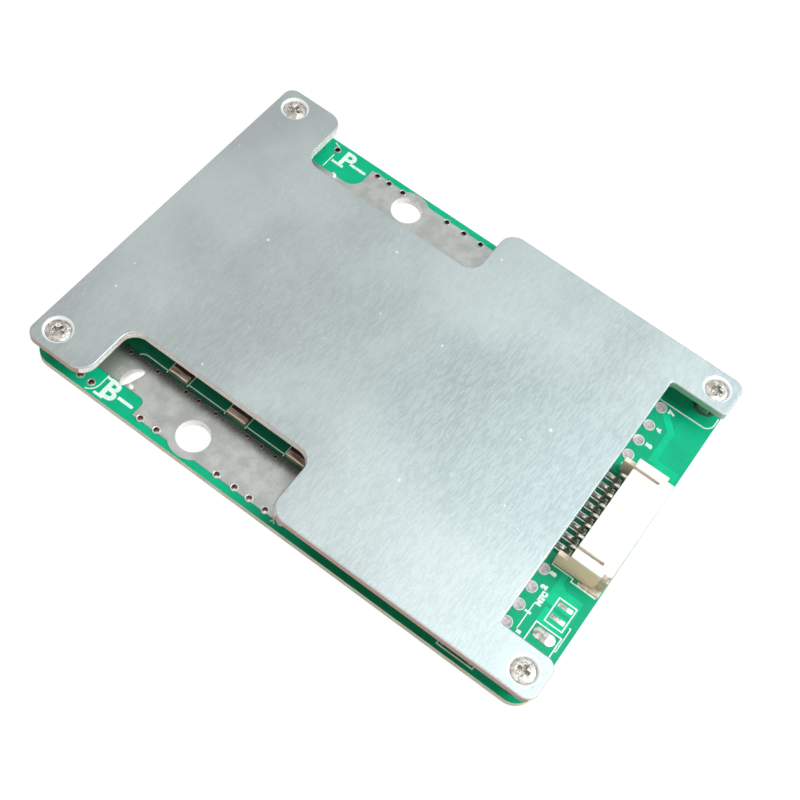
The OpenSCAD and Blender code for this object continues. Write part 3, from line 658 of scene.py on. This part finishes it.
# The near wall is painted a deeper, warmer cream as shade
walls_with_near_shade = (y < -9.3).mix(paint(252, 238, 222), paint(255, 222, 196))
roof = flow.mix(paint(246, 242, 232), paint(251, 248, 240))
soft_piece("housing", ["connector_housing"], 0.09, close_finish(
    material, Base_Color=z.over(5.3, 5.8).mix(walls_with_near_shade, roof),
    Roughness=0.46 + grain * 0.14, Specular_IOR_Level=0.4, Subsurface_Weight=0.25,
    Subsurface_Radius=(1.0, 0.6, 0.35), Subsurface_Scale=0.0008,
    bump=grain + flow * 0.6, depth=0.01), 3,
    thin=lambda middle: middle.x > 40 and (8.7 < abs(middle.y) < 8.95 or 1.8 < middle.z < 5.4))

material, place, x, y, z = new_finish("contact_tin")
drawn = place.noise(4.0, 2, (0.3, 1, 1)).over(0.3, 0.7)
contact_metal = close_finish(
    material, Base_Color=drawn.mix(paint(176, 170, 156), paint(222, 218, 206)),
    Metallic=0.95, Roughness=0.24 + drawn * 0.16, bump=drawn, depth=0.01)
soft_piece("contacts", numbered("contact", 8), 0.06, contact_metal)
material, place, x, y, z = new_finish("tab_tin")
dulled = place.noise(2.0, 3).over(0.3, 0.7)
soft_piece("solder_tabs", ["solder_tab_near", "solder_tab_far"], 0.05, close_finish(
    material, Base_Color=dulled.mix(paint(186, 174, 150), paint(214, 206, 186)),
    Metallic=0.35, Roughness=0.5, bump=place.noise(3.0, 2), depth=0.01))

PITCH = 2
foot_pads = bmesh.new()
lumps = bmesh.new()
for i in range(8):
    y = (i - 3.5) * PITCH
    slab(foot_pads, block(32.9, y - 0.6, 35.85, y + 0.6), TOP - SUNK, TOP + 0.07)
    lump(34.4, y, 0.58, 1.6, 0.4)
    lump(35.2, y, 0.5, 0.65, 0.6)
for y in (-10.05, 10.05):
    slab(foot_pads, block(38.9, y - 0.3, 42.25, y + 0.3), TOP - SUNK, TOP + 0.04)
bmesh.ops.bevel(foot_pads, geom=foot_pads.edges[:], offset=0.02 * MM, affect="EDGES", segments=2,
                profile=0.5, material=-1)
material, place, x, y, z = new_finish("lead_solder")
along_row = y + 4 * PITCH
aside = abs(along_row.math("MODULO", along_row, PITCH) - PITCH / 2)
# Dark lines along both sides of each lead: painted shade and reflection in the solder's meniscus
hollow = (1 - abs(aside - 0.36).over(0.04, 0.12)) * (abs(y) < 8.2)
satin = place.noise(3.0, 3).over(0.3, 0.7).mix(paint(186, 186, 176), paint(232, 232, 224))
lead_solder = close_finish(material, Base_Color=(hollow * 0.85).mix(satin, paint(44, 52, 46)),
                           Metallic=0.6, Roughness=0.36 + hollow * 0.2, bump=place.noise(2.5, 3),
                           depth=0.03)
piece("contact_pads", closed(foot_pads), lead_solder)
piece("contact_solder", closed(lumps), lead_solder, smooth=True)

# ---- Standoffs ----
# Four turned and nickel-plated brass posts, soldered through the board and tapped for
# the screws. The solder climbs round the foot of each and fills its hole below.

material, place, x, y, z = new_finish("plated_brass")
# Upright ribs, painted in dark green and pale stripes as shade and reflection under the plate
ribs_and_reflection = place.noise(2.2, 2, (1, 1, 0.04)).over(0.42, 0.58)
dress("standoffs", close_finish(
    material, Base_Color=ribs_and_reflection.mix(paint(58, 66, 54), paint(196, 200, 178)), Metallic=0.9,
    Roughness=0.3 + ribs_and_reflection * 0.14, bump=ribs_and_reflection, depth=0.01))

SCREW_X, SCREW_Y = 39.5, 27.0
fillets = bmesh.new()
for x in (-SCREW_X, SCREW_X):
    for y in (-SCREW_Y, SCREW_Y):
        turned(fillets, [(1.79, TOP - 0.01), (2.05, TOP - 0.01), (2.03, TOP + 0.03),
                         (1.92, TOP + 0.1), (1.83, TOP + 0.3), (1.79, TOP + 0.3)], x, y, 36,
               hollow=True)
        turned(fillets, [(0, UNDER + 0.28), (1.49, UNDER + 0.28), (1.49, UNDER + 0.01),
                         (2.4, UNDER + 0.01), (2.4, UNDER - 0.03), (1.7, UNDER - 0.09),
                         (1.0, UNDER - 0.03), (0, UNDER + 0.05)], x, y, 36)
# The fillets are painted dark green: painted shade and the board's reflection under the plate
piece("standoff_solder", closed(fillets),
      tin_finish("shaded_standoff_solder", paint(66, 88, 72), paint(46, 62, 50), 0.6),
      smooth=True)

# ---- Heat plate ----
# A 1.5 mm aluminium plate, punched to shape and brushed across its short side, then
# handled: fine scratches at all angles, small dings and cloudy patches. Its punched
# edges are duller, and its four countersinks are cut after brushing, so they are brighter.

EDGE_R = 0.22
plate_low, plate_high = (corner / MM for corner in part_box("heat_plate"))
material, place, x, y, z = new_finish("brushed_aluminium")
hatch = place.noise(3.8, 2, (1, 0.18, 1)).over(0.36, 0.64)
prickle = place.noise(3.6, 2, lift=4).over(0.48, 0.72)
cloud = place.noise(0.06, 4, (1, 0.8, 1)).over(0.35, 0.68)
# The brushing is deeper towards the connector, and a dull film lies to the right of middle
worked = (x - y * 0.6).over(-70, 45)
far_x, far_y = (x - 22) * 0.042, (y + 1) * 0.06
film = 1 - (far_x * far_x + far_y * far_y + place.noise(0.11, 5, lift=8) * 0.9).over(0.6, 1.75)
scratches = None
for angle, lift in ((22, 2), (-34, 11), (58, 23), (-72, 31)):
    line = place.noise(1.3, 1, (4.5, 0.4, 1), math.radians(angle), lift).over(0.75, 0.8)
    scratches = line if scratches is None else scratches + line
cells = place.node("TexVoronoi", {}, {"Vector": place, "Scale": 0.3})
dings = (1 - cells.over(0.04, 0.09)) * place.noise(0.2, 2, lift=17).over(0.5, 0.58)


def from_screw(x, y):
    """How far this place is from the nearest screw's axis."""
    aside = x.node("CombineXYZ", {}, {"X": abs(x) - SCREW_X, "Y": abs(y) - SCREW_Y})
    return aside.node("VectorMath", {"operation": "LENGTH"}, {0: aside}, "Value")


sink = 1 - from_screw(x, y).over(2.2, 2.28)
wall = 1 - z.over(plate_high.z - EDGE_R - 0.04, plate_high.z - EDGE_R * 0.6)
grey = cloud.mix(paint(162, 169, 168), paint(176, 183, 182))
grey = (film * 0.6).mix(grey, paint(148, 159, 160))
grey = (hatch * worked * 0.34).mix(grey, paint(200, 207, 207))
grey = (prickle * worked * 0.22).mix(grey, paint(144, 151, 151))
grey = (scratches * 0.3 + dings * 0.7).mix(grey, paint(228, 232, 232))
# The punched walls: painted a darker pink along the B- side as shade, and at the far tab more
# metallic, with a pale green painted as the board's reflection
torn = place.noise(3.0, 2, (1, 1, 0.2)).over(0.3, 0.7)
punched_and_shaded = torn.mix(paint(238, 228, 222), paint(252, 248, 244))
punched_and_shaded = (y < plate_low.y + 0.4).mix(punched_and_shaded, paint(176, 146, 134))
board_reflection_wall = x.over(30, 32) * (1 - abs(y - 20).over(6.5, 8))
punched_and_shaded = board_reflection_wall.mix(punched_and_shaded, paint(176, 190, 182))
grey = wall.mix(grey, punched_and_shaded)
cut = sink.mix(grey, paint(228, 232, 231))
brush = (1 - sink) * (hatch * 0.35 + prickle * 0.4) + scratches * 0.3 - dings * 1.5
soft_piece("plate", ["heat_plate"], EDGE_R, close_finish(
    material, Base_Color=cut, Metallic=1 - wall * (0.55 - board_reflection_wall * 0.5) - sink * 0.4,
    Roughness=0.42 + hatch * 0.05 + cloud * 0.04 + wall * 0.08 - sink * 0.1, bump=brush,
    depth=0.008), 4, 50)

# ---- Plate screws ----
# Four nickel-plated countersunk M2 screws with raised heads. The driver has worn the plating off
# the edges of their crosses. Their recesses are painted a flat pale grey that lightens their shade,
# and dark and white swirl lines across the middle are painted shade and highlights along worn
# gouges.

material, place, x, y, z = new_finish("nickel_plate")
worn = place.noise(1.5, 3).over(0.36, 0.66)
screw_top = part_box("plate_screws")[1].z / MM
deep = 1 - z.over(screw_top - 0.75, screw_top - 0.2)
middle = 1 - from_screw(x, y).over(1.0, 1.5)
swirl = place.noise(0.75, 3, lift=6)
# Dark gouges with white ridges beside them: painted shade and painted highlights
gouge_and_shade = (1 - abs(swirl - 0.5).over(0.015, 0.05)) * middle
ridge_and_highlight = (1 - abs(swirl - 0.57).over(0.015, 0.05)) * middle
nickel = worn.mix(paint(172, 164, 154), paint(212, 206, 198))
nickel = (gouge_and_shade * 0.7).mix(nickel, paint(128, 122, 114))
nickel = (ridge_and_highlight * 0.7).mix(nickel, paint(250, 250, 248))
# The recesses are painted a flat pale grey that lightens their shade
soft_piece("screws", ["plate_screws"], 0.1, close_finish(
    material, Base_Color=(deep * 0.5).mix(nickel, paint(190, 182, 172)), Metallic=0.8,
    Roughness=0.34 + worn * 0.1 + deep * 0.1, bump=worn * 0.6 + ridge_and_highlight - gouge_and_shade,
    depth=0.05), 3)

# ---- Studio ----
# A plain white floor in a pale room. A broad lamp hangs over the connector's end, a small
# one stands beyond it, and a faint cool window at the P- side and a faint warm fill at
# the B- side light the walls.


def background(tree):
    """1 for the rays that see it directly, in a mirror or through glass."""
    seen = Wire(tree).node("LightPath", out="Is Camera Ray")
    seen = seen.math("MAXIMUM", seen, seen.node("LightPath", out="Is Glossy Ray"))
    return seen.math("MAXIMUM", seen, seen.node("LightPath", out="Is Transmission Ray"))


floor_shape = bmesh.new()
bmesh.ops.create_grid(floor_shape, x_segments=1, y_segments=1, size=3)
bmesh.ops.translate(floor_shape, vec=(0, 0, (UNDER - 0.12) * MM), verts=floor_shape.verts)
floor_mesh = bpy.data.meshes.new("floor")
floor_shape.to_mesh(floor_mesh)
floor_shape.free()
floor = bpy.data.objects.new("floor", floor_mesh)
bpy.context.scene.collection.objects.link(floor)
material = bpy.data.materials.new("white_floor")
material.use_nodes = True
tree = material.node_tree
shader = tree.nodes["Principled BSDF"]
shader.inputs["Base Color"].default_value = (0.62, 0.56, 0.52, 1)
shader.inputs["Roughness"].default_value = 0.9
seen = background(tree)
glow = seen.node("Emission", {}, {"Color": (1, 1, 1, 1), "Strength": 1.04})
lit = seen.node("MixShader", {}, {0: seen * 0.95, 1: Wire(tree, shader.outputs[0]), 2: glow})
tree.links.new(lit.socket, tree.nodes["Material Output"].inputs["Surface"])
floor_mesh.materials.append(material)

world = bpy.data.worlds.new("pale_room")
world.use_nodes = True
bpy.context.scene.world = world
tree = world.node_tree
seen = background(tree)
aim = Wire(tree).node("TexCoord", out="Generated")
height = aim.node("SeparateXYZ", {}, {0: aim}, "Z").over(-0.1, 1.0)
tint = seen.math("MAXIMUM", seen, height).mix((1.0, 0.76, 0.56, 1), (1, 1, 1, 1))
tree.links.new(tint.socket, tree.nodes["Background"].inputs["Color"])
strength = seen.math("MAXIMUM", seen, 0.12 + height * 0.34)
tree.links.new(strength.socket, tree.nodes["Background"].inputs["Strength"])


def lamp(name, place, aim, size, power, colour=(1, 1, 1)):
    """A square soft lamp that faces a point on the object."""
    data = bpy.data.lights.new(name, "AREA")
    data.shape, data.size, data.energy, data.color = "SQUARE", size, power, colour
    made = bpy.data.objects.new(name, data)
    facing = (Vector(aim) - Vector(place)).to_track_quat("-Z", "Y")
    made.matrix_world = Matrix.Translation(place) @ facing.to_matrix().to_4x4()
    bpy.context.scene.collection.objects.link(made)


lamp("overhead_lamp", (0.22, 0.12, 0.5), (0.01, 0, 0), 0.4, 1.62, (0.88, 1.0, 1.02))
lamp("side_lamp", (0.42, 0.14, 0.34), (0, 0, 0), 0.2, 1.5)
lamp("window_lamp", (0.2, 0.45, 0.5), (0, 0, 0), 0.4, 0.25, (0.3, 0.8, 1.0))
lamp("fill_lamp", (0.05, -0.45, 0.1), (0, 0, 0), 0.25, 0.5, (1.0, 0.82, 0.78))

# The camera looks down on the board from beside its B- side, near the connector
camera_data = bpy.data.cameras.new("camera")
camera_data.lens, camera_data.sensor_width = 58.84, 36
camera_data.clip_start = 0.01
camera = bpy.data.objects.new("camera", camera_data)
to_right, down, ahead = (Vector(v).normalized() for v in (
    (0.80597, 0.57455, 0.14252), (0.56465, -0.67387, -0.47652), (-0.17775, 0.46454, -0.86753)))
camera.matrix_world = Matrix.Translation((0.03694, -0.09098, 0.16654)) @ Matrix(
    (to_right, -down, -ahead)).transposed().to_4x4()
bpy.context.scene.collection.objects.link(camera)
bpy.context.scene.camera = camera
bpy.context.scene.view_settings.view_transform = "Standard"
